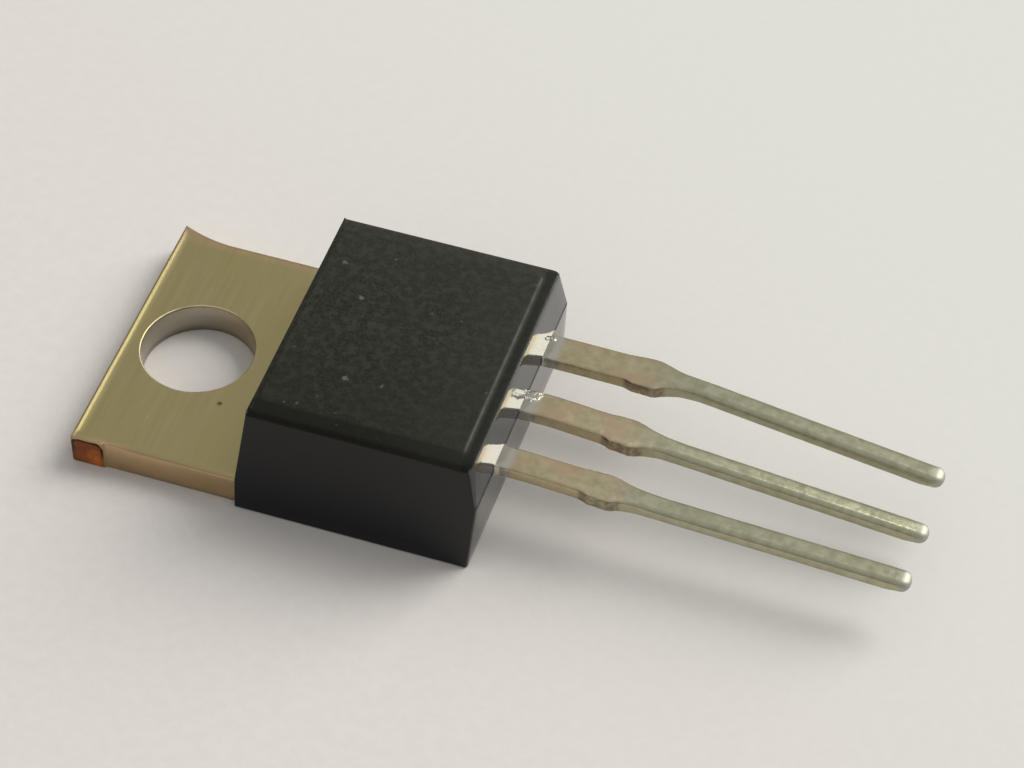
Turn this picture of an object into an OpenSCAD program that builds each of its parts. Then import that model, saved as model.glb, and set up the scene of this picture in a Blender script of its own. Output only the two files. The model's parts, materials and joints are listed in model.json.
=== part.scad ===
// Three-lead triac in a moulded plastic power package with a screw-down metal tab.
// Millimetres. The origin is the axis of the tab's screw hole, on the tab's underside.
// +X runs from the tab towards the leads, +Y across the tab, +Z up through the tab.

/* [Tab] */
// Thickness of the copper tab
tab_t = 1.2; // [0.9:0.05:1.3]
// Distance from the hole's axis to the tab's free end
tab_reach = 2.55; // [2.4:0.05:3.2]
// Width of the tab between its ears and the plastic
neck_w = 9.9; // [9.5:0.05:10]
// Diameter of the screw hole
hole_d = 3.9; // [3.2:0.05:4]
// How far the pointed ear on the +Y side stands out from the neck
far_ear_out = 0.35; // [0.15:0.05:0.6]
// Radius of the punched scoop behind the pointed ear
ear_scoop_r = 5; // [4:0.1:6]
// How far the sheared ear on the -Y side stands out from the neck
near_ear_out = 0.07; // [0.03:0.01:0.2]
// Length of the sheared ear, from the tab's free end
near_ear_len = 1.15; // [0.8:0.05:1.6]

/* [Chip paddle] */
// Distance from the hole's axis to the far end of the paddle
paddle_reach = 9.5; // [9.3:0.05:9.7]
// Width of the paddle at the underside
paddle_w = 8.2; // [7.6:0.1:8.4]
// Width of the lip that locks each side of the paddle into the plastic
lip_w = 0.25; // [0.15:0.05:0.3]
// Thickness of that lip, from the paddle's upper face down
lip_t = 0.5; // [0.3:0.05:0.6]
// Length of the full-width neck that the plastic covers
neck_cover = 0.7; // [0.5:0.05:0.9]

/* [Plastic body] */
// Distance from the hole's axis to the body's foot on the tab side
body_start = 3.28; // [3:0.05:3.5]
// Length of the body, from that foot to the parting line at the leads
body_len = 8.33; // [8.2:0.01:8.8]
// Height of the body
body_h = 4.45; // [4.3:0.05:4.8]
// Width of the body at its foot
body_foot_w = 10.4; // [10.2:0.05:10.8]
// Width of the body at its top
body_top_w = 9.25; // [8.9:0.05:9.6]
// Height of the mould's parting line at the leads
parting_z = 2.63; // [2.5:0.01:2.75]
// How far the top edge at the leads sits back from the parting line
end_back = 0.2; // [0.1:0.05:0.4]
// How far the foot at the leads sits back from the parting line
foot_back = 0.19; // [0.1:0.01:0.3]
// How far the top edge over the tab leans back from the foot
front_lean = 0.42; // [0.2:0.02:0.6]
// Radius of the two long top edges
edge_r = 0.25; // [0.15:0.05:0.4]
// Height of the matt field above the smooth margin round it
field_rise = 0.05; // [0.03:0.01:0.1]
// Width of the smooth margin between the matt field and the top edge at the leads
field_end_gap = 0.45; // [0.2:0.05:0.8]

/* [Leads] */
// Spacing of the leads
pitch = 2.54; // [2.4:0.02:2.6]
// Sideways offset of the row of leads from the hole's axis
row_y = 0.1; // [0:0.01:0.15]
// Height of the leads' upper face where they leave the plastic
lead_top_z = 2.75; // [2.68:0.01:2.85]
// Thickness of the leads
lead_t = 0.48; // [0.4:0.02:0.6]
// Length of the leads outside the plastic
lead_len = 13.9; // [12:0.1:15]
// Width of the gate lead's root
gate_root_w = 1.15; // [0.9:0.05:1.3]
// Width of the middle lead's root
mid_root_w = 1.04; // [0.8:0.02:1.2]
// Width of the first main terminal's root
mt1_root_w = 0.98; // [0.8:0.02:1.2]
// Width of the gate lead's pin
gate_pin_w = 0.74; // [0.6:0.02:0.88]
// Width of the middle lead's pin
mid_pin_w = 0.72; // [0.6:0.02:0.88]
// Width of the first main terminal's pin
mt1_pin_w = 0.76; // [0.6:0.02:0.88]
// Length of the root, from the plastic to the cut tie bar
root_len = 3.05; // [2.7:0.05:3.3]
// Width of the cut tie bar along the lead
stub_len = 0.95; // [0.6:0.05:1.1]
// How far the cut tie bar stands out of the root's side
stub_out = 0.08; // [0.05:0.01:0.2]
// Length of the shoulder where the root narrows to the pin
shoulder_len = 0.75; // [0.5:0.05:1]

/* [Lead bends] */
// Straight length of each lead before its first bend
straight_len = 1; // [0.6:0.1:1.6]
// Distance from the plastic to each lead's second bend
knee_len = 5.4; // [5.4:0.1:6]
// Drop of the gate lead at its second bend
gate_knee_drop = 0; // [0:0.01:0.2]
// Drop of the gate lead at its tip
gate_tip_drop = 0.4; // [0:0.05:1]
// Sideways shift of the gate lead at its second bend
gate_knee_side = -0.07; // [-0.15:0.01:0.1]
// Sideways shift of the gate lead at its tip
gate_tip_side = -0.92; // [-1:0.01:0.2]
// Drop of the middle lead at its second bend
mid_knee_drop = 0.3; // [0:0.01:0.4]
// Drop of the middle lead at its tip
mid_tip_drop = 1.1; // [0:0.01:1.2]
// Sideways shift of the middle lead at its second bend
mid_knee_side = -0.13; // [-0.15:0.01:0.1]
// Sideways shift of the middle lead at its tip
mid_tip_side = -0.24; // [-0.4:0.01:0.4]
// Drop of the first main terminal's lead at its second bend
mt1_knee_drop = 0.2; // [0:0.01:0.3]
// Drop of the first main terminal's lead at its tip
mt1_tip_drop = 0.5; // [0:0.05:1]
// Sideways shift of the first main terminal's lead at its second bend
mt1_knee_side = -0.12; // [-0.15:0.01:0.1]
// Sideways shift of the first main terminal's lead at its tip
mt1_tip_side = -0.27; // [-0.4:0.01:0.4]

/* [Inside the plastic] */
// Width of the square silicon chip
chip_w = 3.6; // [3.2:0.1:4]
// Thickness of the chip
chip_t = 0.3; // [0.2:0.02:0.35]
// Distance from the hole's axis to the chip's middle
chip_x = 6.3; // [6:0.05:6.5]
// Thickness of each solder layer
solder_t = 0.05; // [0.03:0.01:0.08]
// Thickness of the first main terminal's clip
mt1_clip_t = 0.3; // [0.2:0.02:0.36]
// Width of the first main terminal's clip
mt1_clip_w = 1.7; // [1.3:0.1:1.9]
// Thickness of the gate clip
gate_clip_t = 0.2; // [0.15:0.01:0.3]
// Width of the gate clip
gate_clip_w = 0.7; // [0.5:0.05:0.8]
// Length of each clip's landing on its post
landing_len = 1.2; // [0.9:0.05:1.4]
// How far the first main terminal's clip starts in from the chip's edge nearest the hole
mt1_pad_in = 0.5; // [0.3:0.05:0.8]
// How far that clip stays in from the chip's -Y edge
mt1_side_in = 0.35; // [0.2:0.05:0.5]
// Length of the gate clip's foot on the chip
gate_foot_len = 0.95; // [0.7:0.05:1.1]
// How far the gate clip stays in from the chip's +Y edge
gate_side_in = 0.25; // [0.15:0.05:0.4]
// How far both clips' feet stop short of the chip's edge nearest the leads
foot_in = 0.15; // [0.1:0.01:0.25]
// How far the outer leads' posts spread outwards from the middle of their leads
post_shift = 0.35; // [0.25:0.05:0.45]
// Length of the outer leads' posts inside the plastic
post_len = 1.9; // [1.7:0.05:2]
// Width of the outer leads' posts
post_w = 2.3; // [2:0.05:2.4]
// Width of the middle lead's neck where it rises from the paddle
neck_strip_w = 1.4; // [1.2:0.05:1.6]
// Length over which the middle lead rises from the paddle
rise_len = 1.1; // [0.9:0.05:1.3]

/* [Hidden] */
$fn = 64;

// Break of the screw hole's sharp rims
hole_break = 0.05;
// How far a cutting tool runs past the face it cuts
past = 1;

// Ends of the plastic body along X
parting_x = body_start + body_len;
top_end_x = parting_x - end_back;
foot_end_x = parting_x - foot_back;
// The smooth margin of the top face
margin_z = body_h - field_rise;
// Where the scoop behind the pointed ear runs into the neck
scoop_run = sqrt(far_ear_out * (2 * ear_scoop_r - far_ear_out));

// Leads
knee_x = parting_x + knee_len;
tip_x = parting_x + lead_len;
bend_x = parting_x + straight_len;
stub_x = parting_x + root_len;
lead_bottom_z = lead_top_z - lead_t;
mt1_y = row_y - pitch;
gate_y = row_y + pitch;
post_x = parting_x - end_back - post_len;

// The stack on the paddle, from below
chip_z = tab_t + solder_t;
chip_top = chip_z + chip_t;
clip_z = chip_top + solder_t;
clip_high_z = lead_top_z + solder_t;
// How far short of the posts the clips reach their full height
climb_gap = 0.05;
// Where both clips leave the chip, climb and land on the posts
chip_end = chip_x + chip_w / 2;
climb_start = chip_end - foot_in;
climb_end = post_x - climb_gap;
land_end = post_x + landing_len;
// Middle of each clip on the chip, across the part
mt1_pad_y = -chip_w / 2 + mt1_side_in + mt1_clip_w / 2;
gate_pad_y = chip_w / 2 - gate_side_in - gate_clip_w / 2;
// Where each clip starts on the chip
mt1_pad_x = chip_x - chip_w / 2 + mt1_pad_in;
gate_pad_x = chip_end - gate_foot_len;
// Middle of each clip on its post
mt1_land_y = mt1_y - post_shift / 2;
gate_land_y = gate_y + post_shift / 2;
// How far a solder layer stays back from the edge of the clip above it
solder_inset = 0.1;

// Place along a bent line given as [x, value] points, with x rising
function along(line, x, i = 0) =
    i >= len(line) - 2 || x <= line[i + 1][0]
        ? line[i][1] + (line[i + 1][1] - line[i][1]) * (x - line[i][0]) / (line[i + 1][0] - line[i][0])
        : along(line, x, i + 1);

// Flat outline of a strip: stations are [x, half width] and the middle follows the line
module strip_plan(stations, middle) {
    last = len(stations) - 1;
    polygon(concat(
        [for (s = stations) [s[0], along(middle, s[0]) + s[1]]],
        [for (i = [last:-1:0]) [stations[i][0], along(middle, stations[i][0]) - stations[i][1]]]));
}

// Side outline of a strip of even thickness whose upper face follows the line
module strip_side(upper, t) {
    last = len(upper) - 1;
    polygon(concat(upper, [for (i = [last:-1:0]) [upper[i][0], upper[i][1] - t]]));
}

// Cuts a bent strip out of its flat outline (first child) and side outline (second child)
module bent_strip() {
    intersection() {
        linear_extrude(height = body_h) children(0);
        translate([0, body_foot_w, 0]) rotate([90, 0, 0])
            linear_extrude(height = 2 * body_foot_w) children(1);
    }
}

// Flat outline of a lead from the plastic to its rounded tip
module lead_plan(y, root_w, pin_w, knee_side, tip_side) {
    middle = [[parting_x - body_len, y], [bend_x, y], [knee_x, y + knee_side], [tip_x, y + tip_side]];
    stub_hw = root_w / 2 + stub_out;
    stub_end = stub_x + stub_len;
    tip_mid = tip_x - pin_w / 2;
    strip_plan([[top_end_x - past / 2, root_w / 2], [bend_x, root_w / 2], [stub_x, root_w / 2],
        [stub_x, stub_hw], [stub_end, stub_hw], [stub_end, root_w / 2],
        [stub_end + shoulder_len, pin_w / 2], [knee_x, pin_w / 2], [tip_mid, pin_w / 2]], middle);
    translate([tip_mid, along(middle, tip_mid)]) circle(d = pin_w);
}

// Upper face of a lead from its start inside the plastic to its tip
function lead_upper(start_x, knee_drop, tip_drop) = [[start_x, lead_top_z], [bend_x, lead_top_z],
    [knee_x, lead_top_z - knee_drop], [tip_x, lead_top_z - tip_drop]];

// Outer lead with its post inside the plastic, which spreads away from the middle lead
module outer_lead(y, side, root_w, pin_w, knee_side, knee_drop, tip_side, tip_drop) {
    translate([post_x, y + side * post_shift - post_w / 2, lead_bottom_z]) cube([post_len, post_w, lead_t]);
    bent_strip() {
        lead_plan(y, root_w, pin_w, knee_side, tip_side);
        strip_side(lead_upper(post_x, knee_drop, tip_drop), lead_t);
    }
}

// Solder layer under a clip, between two places along the part
module clip_solder(from_x, to_x, y, w, z) {
    translate([from_x, y - w / 2, z]) cube([to_x - from_x, w, solder_t]);
}

// Clip that leaves the chip, climbs to the height of the posts and lands on one
module clip(from_x, pad_y, land_y, w, t) {
    turn = climb_start + t;
    bent_strip() {
        strip_plan([[from_x, w / 2], [climb_start, w / 2], [climb_end, w / 2], [land_end, w / 2]],
            [[from_x, pad_y], [climb_start, pad_y], [climb_end, land_y], [land_end, land_y]]);
        strip_side([[from_x, clip_z + t], [climb_start, clip_z + t], [climb_end, clip_high_z + t],
            [land_end, clip_high_z + t]], t);
    }
}

// Flat outline of the tab with the pointed ear, the scoop and the sheared ear
module tab_plan() {
    difference() {
        translate([-tab_reach, -neck_w / 2 - near_ear_out])
            square([body_start + neck_cover + tab_reach, neck_w + near_ear_out + far_ear_out]);
        translate([scoop_run - tab_reach, neck_w / 2 + ear_scoop_r]) circle(r = ear_scoop_r, $fn = 180);
        translate([scoop_run - tab_reach, neck_w / 2]) square([body_len + past, past]);
        translate([near_ear_len - tab_reach, -neck_w / 2 - past]) square([body_len + past, past]);
    }
}

// Section of the paddle across the part, with its two locking lips
module paddle_section() {
    translate([-paddle_w / 2, 0]) square([paddle_w, tab_t]);
    translate([-paddle_w / 2 - lip_w, tab_t - lip_t]) square([paddle_w + 2 * lip_w, lip_t]);
}

// Screw hole with a small break at both rims
module screw_hole() {
    translate([0, 0, -past]) cylinder(d = hole_d, h = tab_t + 2 * past);
    rotate_extrude() polygon([[0, tab_t - hole_break], [hole_d / 2, tab_t - hole_break],
        [hole_d / 2 + hole_break, tab_t], [hole_d / 2 + hole_break, tab_t + past], [0, tab_t + past]]);
    rotate_extrude() polygon([[0, hole_break], [hole_d / 2, hole_break],
        [hole_d / 2 + hole_break, 0], [hole_d / 2 + hole_break, -past], [0, -past]]);
}

// Tab, chip paddle and middle lead, stamped from one strip of copper
module heatsink_tab() {
    root_x = paddle_reach - lead_t;
    rise_end = paddle_reach + rise_len;
    color("darkkhaki") {
        difference() {
            union() {
                linear_extrude(height = tab_t) tab_plan();
                translate([body_start, 0, 0]) rotate([90, 0, 90])
                    linear_extrude(height = paddle_reach - body_start) paddle_section();
                bent_strip() {
                    union() {
                        translate([root_x, row_y - neck_strip_w / 2])
                            square([rise_end - root_x, neck_strip_w]);
                        translate([rise_end, row_y - mid_root_w / 2])
                            square([parting_x - rise_end, mid_root_w]);
                        lead_plan(row_y, mid_root_w, mid_pin_w, mid_knee_side, mid_tip_side);
                    }
                    strip_side(concat([[root_x, tab_t], [paddle_reach, tab_t]],
                        lead_upper(rise_end, mid_knee_drop, mid_tip_drop)), lead_t);
                }
            }
            screw_hole();
        }
    }
}

// Lead of the first main terminal
module mt1_lead() {
    color("darkkhaki") outer_lead(mt1_y, -1, mt1_root_w, mt1_pin_w,
        mt1_knee_side, mt1_knee_drop, mt1_tip_side, mt1_tip_drop);
}

// Lead of the gate
module gate_lead() {
    color("darkkhaki") outer_lead(gate_y, 1, gate_root_w, gate_pin_w,
        gate_knee_side, gate_knee_drop, gate_tip_side, gate_tip_drop);
}

// Solder between the paddle and the chip
module chip_solder() {
    color("lightgray") translate([chip_x - chip_w / 2, -chip_w / 2, tab_t])
        cube([chip_w, chip_w, solder_t]);
}

// Silicon chip
module triac_chip() {
    color("slategray") translate([chip_x - chip_w / 2, -chip_w / 2, chip_z])
        cube([chip_w, chip_w, chip_t]);
}

// Solder between the chip and the first main terminal's clip
module mt1_chip_solder() {
    color("lightgray") clip_solder(mt1_pad_x + solder_inset, climb_start - solder_inset, mt1_pad_y,
        mt1_clip_w - 2 * solder_inset, chip_top);
}

// Clip from the chip to the first main terminal's lead
module mt1_clip() {
    color("peru") clip(mt1_pad_x, mt1_pad_y, mt1_land_y, mt1_clip_w, mt1_clip_t);
}

// Solder between that clip and its lead
module mt1_post_solder() {
    color("lightgray") clip_solder(climb_end + 2 * solder_inset, land_end - solder_inset, mt1_land_y,
        mt1_clip_w - 2 * solder_inset, lead_top_z);
}

// Solder between the chip and the gate clip
module gate_chip_solder() {
    color("lightgray") clip_solder(gate_pad_x + solder_inset, climb_start - solder_inset, gate_pad_y,
        gate_clip_w - 2 * solder_inset, chip_top);
}

// Clip from the chip to the gate lead
module gate_clip() {
    color("peru") clip(gate_pad_x, gate_pad_y, gate_land_y, gate_clip_w, gate_clip_t);
}

// Solder between the gate clip and its lead
module gate_post_solder() {
    color("lightgray") clip_solder(climb_end + 2 * solder_inset, land_end - solder_inset, gate_land_y,
        gate_clip_w - 2 * solder_inset, lead_top_z);
}

// Section of the plastic across the part: leaning sides and two rounded top edges
module body_section() {
    foot = body_foot_w / 2;
    lean = (body_foot_w - body_top_w) / 2 / body_h;
    side_angle = atan(lean);
    round_z = margin_z - edge_r;
    round_y = foot - lean * round_z - edge_r / cos(side_angle);
    side_y = round_y + edge_r * cos(side_angle);
    side_z = round_z + edge_r * sin(side_angle);
    polygon([[-foot, 0], [foot, 0], [side_y, side_z], [round_y, margin_z],
        [-round_y, margin_z], [-side_y, side_z]]);
    for (s = [-1, 1]) translate([s * round_y, round_z]) circle(r = edge_r);
}

// Side outline of the plastic: the leaning front over the tab and the two-way draft at the leads
module body_side() {
    polygon([[body_start, 0], [foot_end_x, 0], [parting_x, parting_z], [top_end_x, margin_z],
        [body_start + front_lean, margin_z], [body_start, tab_t]]);
}

// Outside form of the plastic, filled
module body_form() {
    field_w = body_top_w - 2 * edge_r;
    field_x = body_start + front_lean + field_rise;
    intersection() {
        translate([body_start, 0, 0]) rotate([90, 0, 90]) linear_extrude(height = body_len) body_section();
        translate([0, body_foot_w, 0]) rotate([90, 0, 0])
            linear_extrude(height = 2 * body_foot_w) body_side();
    }
    translate([field_x, -field_w / 2, parting_z])
        cube([top_end_x - field_end_gap - field_x, field_w, body_h - parting_z]);
}

// Plastic moulded round the paddle, the chip, the clips and the roots of the leads
module moulded_body() {
    color("dimgray") difference() {
        body_form();
        heatsink_tab();
        mt1_lead();
        gate_lead();
        chip_solder();
        triac_chip();
        mt1_chip_solder();
        mt1_clip();
        mt1_post_solder();
        gate_chip_solder();
        gate_clip();
        gate_post_solder();
    }
}

heatsink_tab();
mt1_lead();
gate_lead();
chip_solder();
triac_chip();
mt1_chip_solder();
mt1_clip();
mt1_post_solder();
gate_chip_solder();
gate_clip();
gate_post_solder();
moulded_body();
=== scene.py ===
"""Three-lead triac in a moulded power package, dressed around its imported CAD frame."""
import json
import math

import bmesh
import bpy
import numpy as np
from mathutils import Matrix, Vector, noise


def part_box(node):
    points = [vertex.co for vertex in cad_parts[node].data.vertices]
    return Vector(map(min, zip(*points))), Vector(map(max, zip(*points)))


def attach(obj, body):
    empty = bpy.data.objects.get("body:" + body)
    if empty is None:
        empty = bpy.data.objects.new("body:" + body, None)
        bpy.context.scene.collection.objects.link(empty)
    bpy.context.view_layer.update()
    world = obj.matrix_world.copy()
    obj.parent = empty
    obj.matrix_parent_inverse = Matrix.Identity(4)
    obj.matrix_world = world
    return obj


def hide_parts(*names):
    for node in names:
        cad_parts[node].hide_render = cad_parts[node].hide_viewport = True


MM = 0.001
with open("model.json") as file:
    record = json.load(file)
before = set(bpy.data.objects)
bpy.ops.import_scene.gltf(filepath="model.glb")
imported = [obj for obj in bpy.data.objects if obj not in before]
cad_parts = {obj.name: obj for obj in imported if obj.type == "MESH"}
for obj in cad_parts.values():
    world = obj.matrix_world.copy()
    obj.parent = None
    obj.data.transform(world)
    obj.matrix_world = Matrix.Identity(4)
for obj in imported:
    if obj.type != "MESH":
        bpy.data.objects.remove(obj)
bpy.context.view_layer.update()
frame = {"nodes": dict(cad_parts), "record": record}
nodes = frame["nodes"]
scene = bpy.context.scene


# ---------------------------------------------------------------- sizes of the CAD, in millimetres

bore = next(m for m in frame["record"]["mounts"] if m["name"] == "screw_hole")
BORE_R = bore["dims"]["r_mm"]
TAB_T = bore["dims"]["length_mm"]
# Outer edge of the squared ear nearest the camera, and the ear's length along the part
NEAR_EAR_Y = -5.02
NEAR_EAR_LEN = 1.15
# Half the width of the tab behind its ears, and where that width ends inside the plastic
NECK_Y = 4.95
NECK_END_X = 3.98
# Half the width and the end of the paddle inside the plastic
PADDLE_Y = 4.1
PADDLE_END_X = 9.5
# Radius of the scoop behind the pointed ear
SCOOP_R = 5.0
# Height of the mould's parting line round the plastic
PARTING_Z = 2.63
# The lead pieces start here, inside the plastic
LEAD_START_X = 11.2


# ---------------------------------------------------------------- camera and lamp

def place(data, name, matrix):
    obj = bpy.data.objects.new(name, data)
    obj.matrix_world = matrix
    scene.collection.objects.link(obj)
    return obj


def make_camera():
    """A long lens at the photograph's viewing angle. The place is in millimetres, the angles in degrees."""
    cam = bpy.data.cameras.new("photo_camera")
    cam.sensor_fit = "HORIZONTAL"
    cam.sensor_width = 36.0
    cam.lens = 120.118
    cam.clip_start = 0.004
    cam.clip_end = 20.0
    spot = Vector((33.6203, -70.9717, 87.3881))
    azimuth = 17.5252
    elevation = 48.4303
    roll = 1.0347
    turn = (Matrix.Rotation(math.radians(azimuth), 4, "Z")
            @ Matrix.Rotation(math.radians(90 - elevation), 4, "X")
            @ Matrix.Rotation(math.radians(roll), 4, "Z"))
    scene.camera = place(cam, "photo_camera", Matrix.Translation(spot * MM) @ turn)


def make_window():
    """One large soft window on the far side, toward the leads. Its sizes are in metres."""
    lamp = bpy.data.lights.new("window", "AREA")
    lamp.shape = "RECTANGLE"
    lamp.size = 0.92
    lamp.size_y = 1.40
    lamp.energy = 25.3
    lamp.color = (1.0, 0.99, 0.965)
    away = 1.5
    direction = Vector((0.527, 0.586, 0.616)).normalized()
    aim = Vector((8 * MM, 0, 1 * MM))
    facing = direction.to_track_quat("Z", "Y").to_matrix().to_4x4()
    place(lamp, "window", Matrix.Translation(aim + direction * away) @ facing)


make_camera()
make_window()


# ---------------------------------------------------------------- node helpers

class Nodes:
    """Builds one material's node tree with short calls. Lengths in it are millimetres of the part."""

    def __init__(self, name):
        self.mat = bpy.data.materials.new(name)
        self.mat.use_nodes = True
        self.tree = self.mat.node_tree
        self.bsdf = self.tree.nodes["Principled BSDF"]
        coord = self.new("ShaderNodeTexCoord")
        scale = self.new("ShaderNodeVectorMath", operation="SCALE")
        scale.inputs["Scale"].default_value = 1 / MM
        self.link(coord.outputs["Object"], scale.inputs[0])
        self.mm = scale.outputs[0]
        split = self.new("ShaderNodeSeparateXYZ")
        self.link(self.mm, split.inputs[0])
        self.x, self.y, self.z = split.outputs

    def new(self, kind, **props):
        node = self.tree.nodes.new(kind)
        for key, value in props.items():
            setattr(node, key, value)
        return node

    def link(self, a, b):
        self.tree.links.new(a, b)

    def put(self, value, socket):
        if hasattr(value, "is_output"):
            self.link(value, socket)
        else:
            socket.default_value = value

    def stretch(self, scale, shift=(0, 0, 0)):
        """The part's coordinates, scaled apart along X, Y and Z, for grain that runs one way."""
        node = self.new("ShaderNodeMapping")
        node.inputs["Scale"].default_value = scale
        node.inputs["Location"].default_value = shift
        self.link(self.mm, node.inputs["Vector"])
        return node.outputs[0]

    def noise(self, scale, detail=2.0, rough=0.5, vector=None):
        node = self.new("ShaderNodeTexNoise")
        node.inputs["Scale"].default_value = scale
        node.inputs["Detail"].default_value = detail
        node.inputs["Roughness"].default_value = rough
        self.link(vector or self.mm, node.inputs["Vector"])
        return node.outputs["Fac"]

    def cells(self, scale):
        """Distance to the nearest of many scattered points, and three random numbers of that point."""
        node = self.new("ShaderNodeTexVoronoi")
        node.inputs["Scale"].default_value = scale
        self.link(self.mm, node.inputs["Vector"])
        split = self.new("ShaderNodeSeparateColor")
        self.link(node.outputs["Color"], split.inputs[0])
        return node.outputs["Distance"], split.outputs

    def world_normal(self):
        node = self.new("ShaderNodeSeparateXYZ")
        self.link(self.new("ShaderNodeNewGeometry").outputs["Normal"], node.inputs[0])
        return node.outputs

    def math(self, op, a, b=0.0):
        node = self.new("ShaderNodeMath", operation=op)
        self.put(a, node.inputs[0])
        self.put(b, node.inputs[1])
        return node.outputs[0]

    def chain(self, op, values):
        result = values[0]
        for value in values[1:]:
            result = self.math(op, result, value)
        return result

    def times(self, *values):
        return self.chain("MULTIPLY", values)

    def plus(self, *values):
        return self.chain("ADD", values)

    def most(self, *values):
        return self.chain("MAXIMUM", values)

    def length(self, a, b):
        """Length of the diagonal with sides a and b."""
        return self.math("POWER", self.plus(self.times(a, a), self.times(b, b)), 0.5)

    def span(self, value, start, end, at_start=0.0, at_end=1.0):
        """A smooth change from one number to another while a value goes from start to end."""
        node = self.new("ShaderNodeMapRange", interpolation_type="SMOOTHSTEP")
        self.put(value, node.inputs["Value"])
        node.inputs["From Min"].default_value = start
        node.inputs["From Max"].default_value = end
        node.inputs["To Min"].default_value = at_start
        node.inputs["To Max"].default_value = at_end
        return node.outputs["Result"]

    def fade(self, value, start, end, most=1.0):
        return self.span(value, start, end, most, 0.0)

    def band(self, value, middle, half, soft):
        """1 where a value lies within half of its middle, falling to 0 over the soft distance."""
        off = self.math("ABSOLUTE", self.math("SUBTRACT", value, middle))
        return self.fade(off, half, half + soft)

    def near(self, point, radius, soft, ragged):
        """1 in a small ball round a point, falling to 0 over the soft distance, with a ragged edge."""
        node = self.new("ShaderNodeVectorMath", operation="DISTANCE")
        self.link(self.mm, node.inputs[0])
        node.inputs[1].default_value = point
        wobble = self.span(self.noise(9.0, 3.0, 0.6), 0.3, 0.7, -ragged, ragged)
        return self.fade(self.plus(node.outputs["Value"], wobble), radius, radius + soft)

    def mix(self, fac, a, b):
        node = self.new("ShaderNodeMix", data_type="RGBA")
        self.put(fac, node.inputs["Factor"])
        colour_a, colour_b = node.inputs[6], node.inputs[7]
        for value, socket in ((a, colour_a), (b, colour_b)):
            self.put((*value, 1.0) if isinstance(value, tuple) else value, socket)
        return node.outputs[2]

    def bump(self, height, depth, strength, normal=None):
        node = self.new("ShaderNodeBump")
        node.inputs["Strength"].default_value = strength
        node.inputs["Distance"].default_value = depth * MM
        self.put(height, node.inputs["Height"])
        if normal:
            self.link(normal, node.inputs["Normal"])
        return node.outputs[0]

    def finish(self, colour, rough, normal, metallic=0.0, specular=0.5):
        """Metallic and specular are the same all over the surface, so they are set on the shader itself."""
        self.link(colour, self.bsdf.inputs["Base Color"])
        self.put(rough, self.bsdf.inputs["Roughness"])
        self.link(normal, self.bsdf.inputs["Normal"])
        self.bsdf.inputs["Metallic"].default_value = metallic
        self.bsdf.inputs["Specular IOR Level"].default_value = specular
        return self.mat


# ---------------------------------------------------------------- room and floor

def make_world():
    """Room light that grows from the horizon up. The camera itself sees a plain near-white there."""
    world = bpy.data.worlds.new("studio")
    world.use_nodes = True
    tree = world.node_tree
    back = tree.nodes["Background"]
    back.inputs["Color"].default_value = (0.97, 0.98, 1.0, 1.0)
    coord = tree.nodes.new("ShaderNodeTexCoord")
    split = tree.nodes.new("ShaderNodeSeparateXYZ")
    rise = tree.nodes.new("ShaderNodeMapRange")
    rise.interpolation_type = "SMOOTHSTEP"
    rise.inputs["From Min"].default_value = 0.1
    rise.inputs["From Max"].default_value = 0.85
    rise.inputs["To Min"].default_value = 0.30
    rise.inputs["To Max"].default_value = 0.52
    tree.links.new(coord.outputs["Generated"], split.inputs[0])
    tree.links.new(split.outputs[2], rise.inputs["Value"])
    tree.links.new(rise.outputs[0], back.inputs["Strength"])
    seen = tree.nodes.new("ShaderNodeBackground")
    seen.inputs["Color"].default_value = (0.93, 0.92, 0.89, 1.0)
    seen.inputs["Strength"].default_value = 1.0
    path = tree.nodes.new("ShaderNodeLightPath")
    mix = tree.nodes.new("ShaderNodeMixShader")
    tree.links.new(path.outputs["Is Camera Ray"], mix.inputs[0])
    tree.links.new(back.outputs[0], mix.inputs[1])
    tree.links.new(seen.outputs[0], mix.inputs[2])
    tree.links.new(mix.outputs[0], tree.nodes["World Output"].inputs["Surface"])
    scene.world = world


def paper():
    """White paper with a faint fibre, a little pinker toward the near left."""
    pinker = (0.690, 0.645, 0.606)
    greener = (0.690, 0.690, 0.642)
    fibre_tint = (0.728, 0.700, 0.652)
    m = Nodes("paper")
    across = m.plus(m.times(m.x, 0.7), m.y)
    tint = m.mix(m.span(across, -8.0, 34.0), pinker, greener)
    fibre = m.noise(2.2, 4.0, 0.65)
    tint = m.mix(m.span(fibre, 0.3, 0.7, 0.0, 0.5), tint, fibre_tint)
    return m.finish(tint, 0.9, m.bump(m.noise(5.0, 3.0, 0.6), 0.008, 0.4))


def make_floor():
    half_size = 2.0
    just_under = -0.00001
    bm = bmesh.new()
    bmesh.ops.create_grid(bm, x_segments=8, y_segments=8, size=half_size)
    mesh = bpy.data.meshes.new("paper_floor")
    bm.to_mesh(mesh)
    bm.free()
    mesh.materials.append(paper())
    place(mesh, "paper_floor", Matrix.Translation((0.0, 0.0, just_under)))


make_world()
make_floor()


# ---------------------------------------------------------------- materials
# Colours are linear red, green and blue. Places and lengths are millimetres of the part.

# Pale specks on the matt top: place and radius
TOP_SPECKS = (((6.26, -2.34, 4.45), 0.075),
              ((7.51, -2.28, 4.45), 0.03),
              ((5.54, 1.17, 4.45), 0.06),
              ((4.47, 2.54, 4.45), 0.05))
# Dull chips in the parting line by the near corner of the lead end: place and radius
END_CHIPS = (((11.60, -3.20, 2.60), 0.07),
             ((11.60, -3.52, 2.60), 0.06),
             ((11.60, -4.05, 2.58), 0.05),
             ((11.56, -4.93, 2.66), 0.08))
# Rough flash of tin where two leads leave the plastic: place, radius, soft edge and raggedness
TIN_FLASH = (((11.83, 0.42, 2.75), 0.20, 0.15, 0.05),
             ((11.68, 2.97, 2.75), 0.06, 0.06, 0.02))
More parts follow.
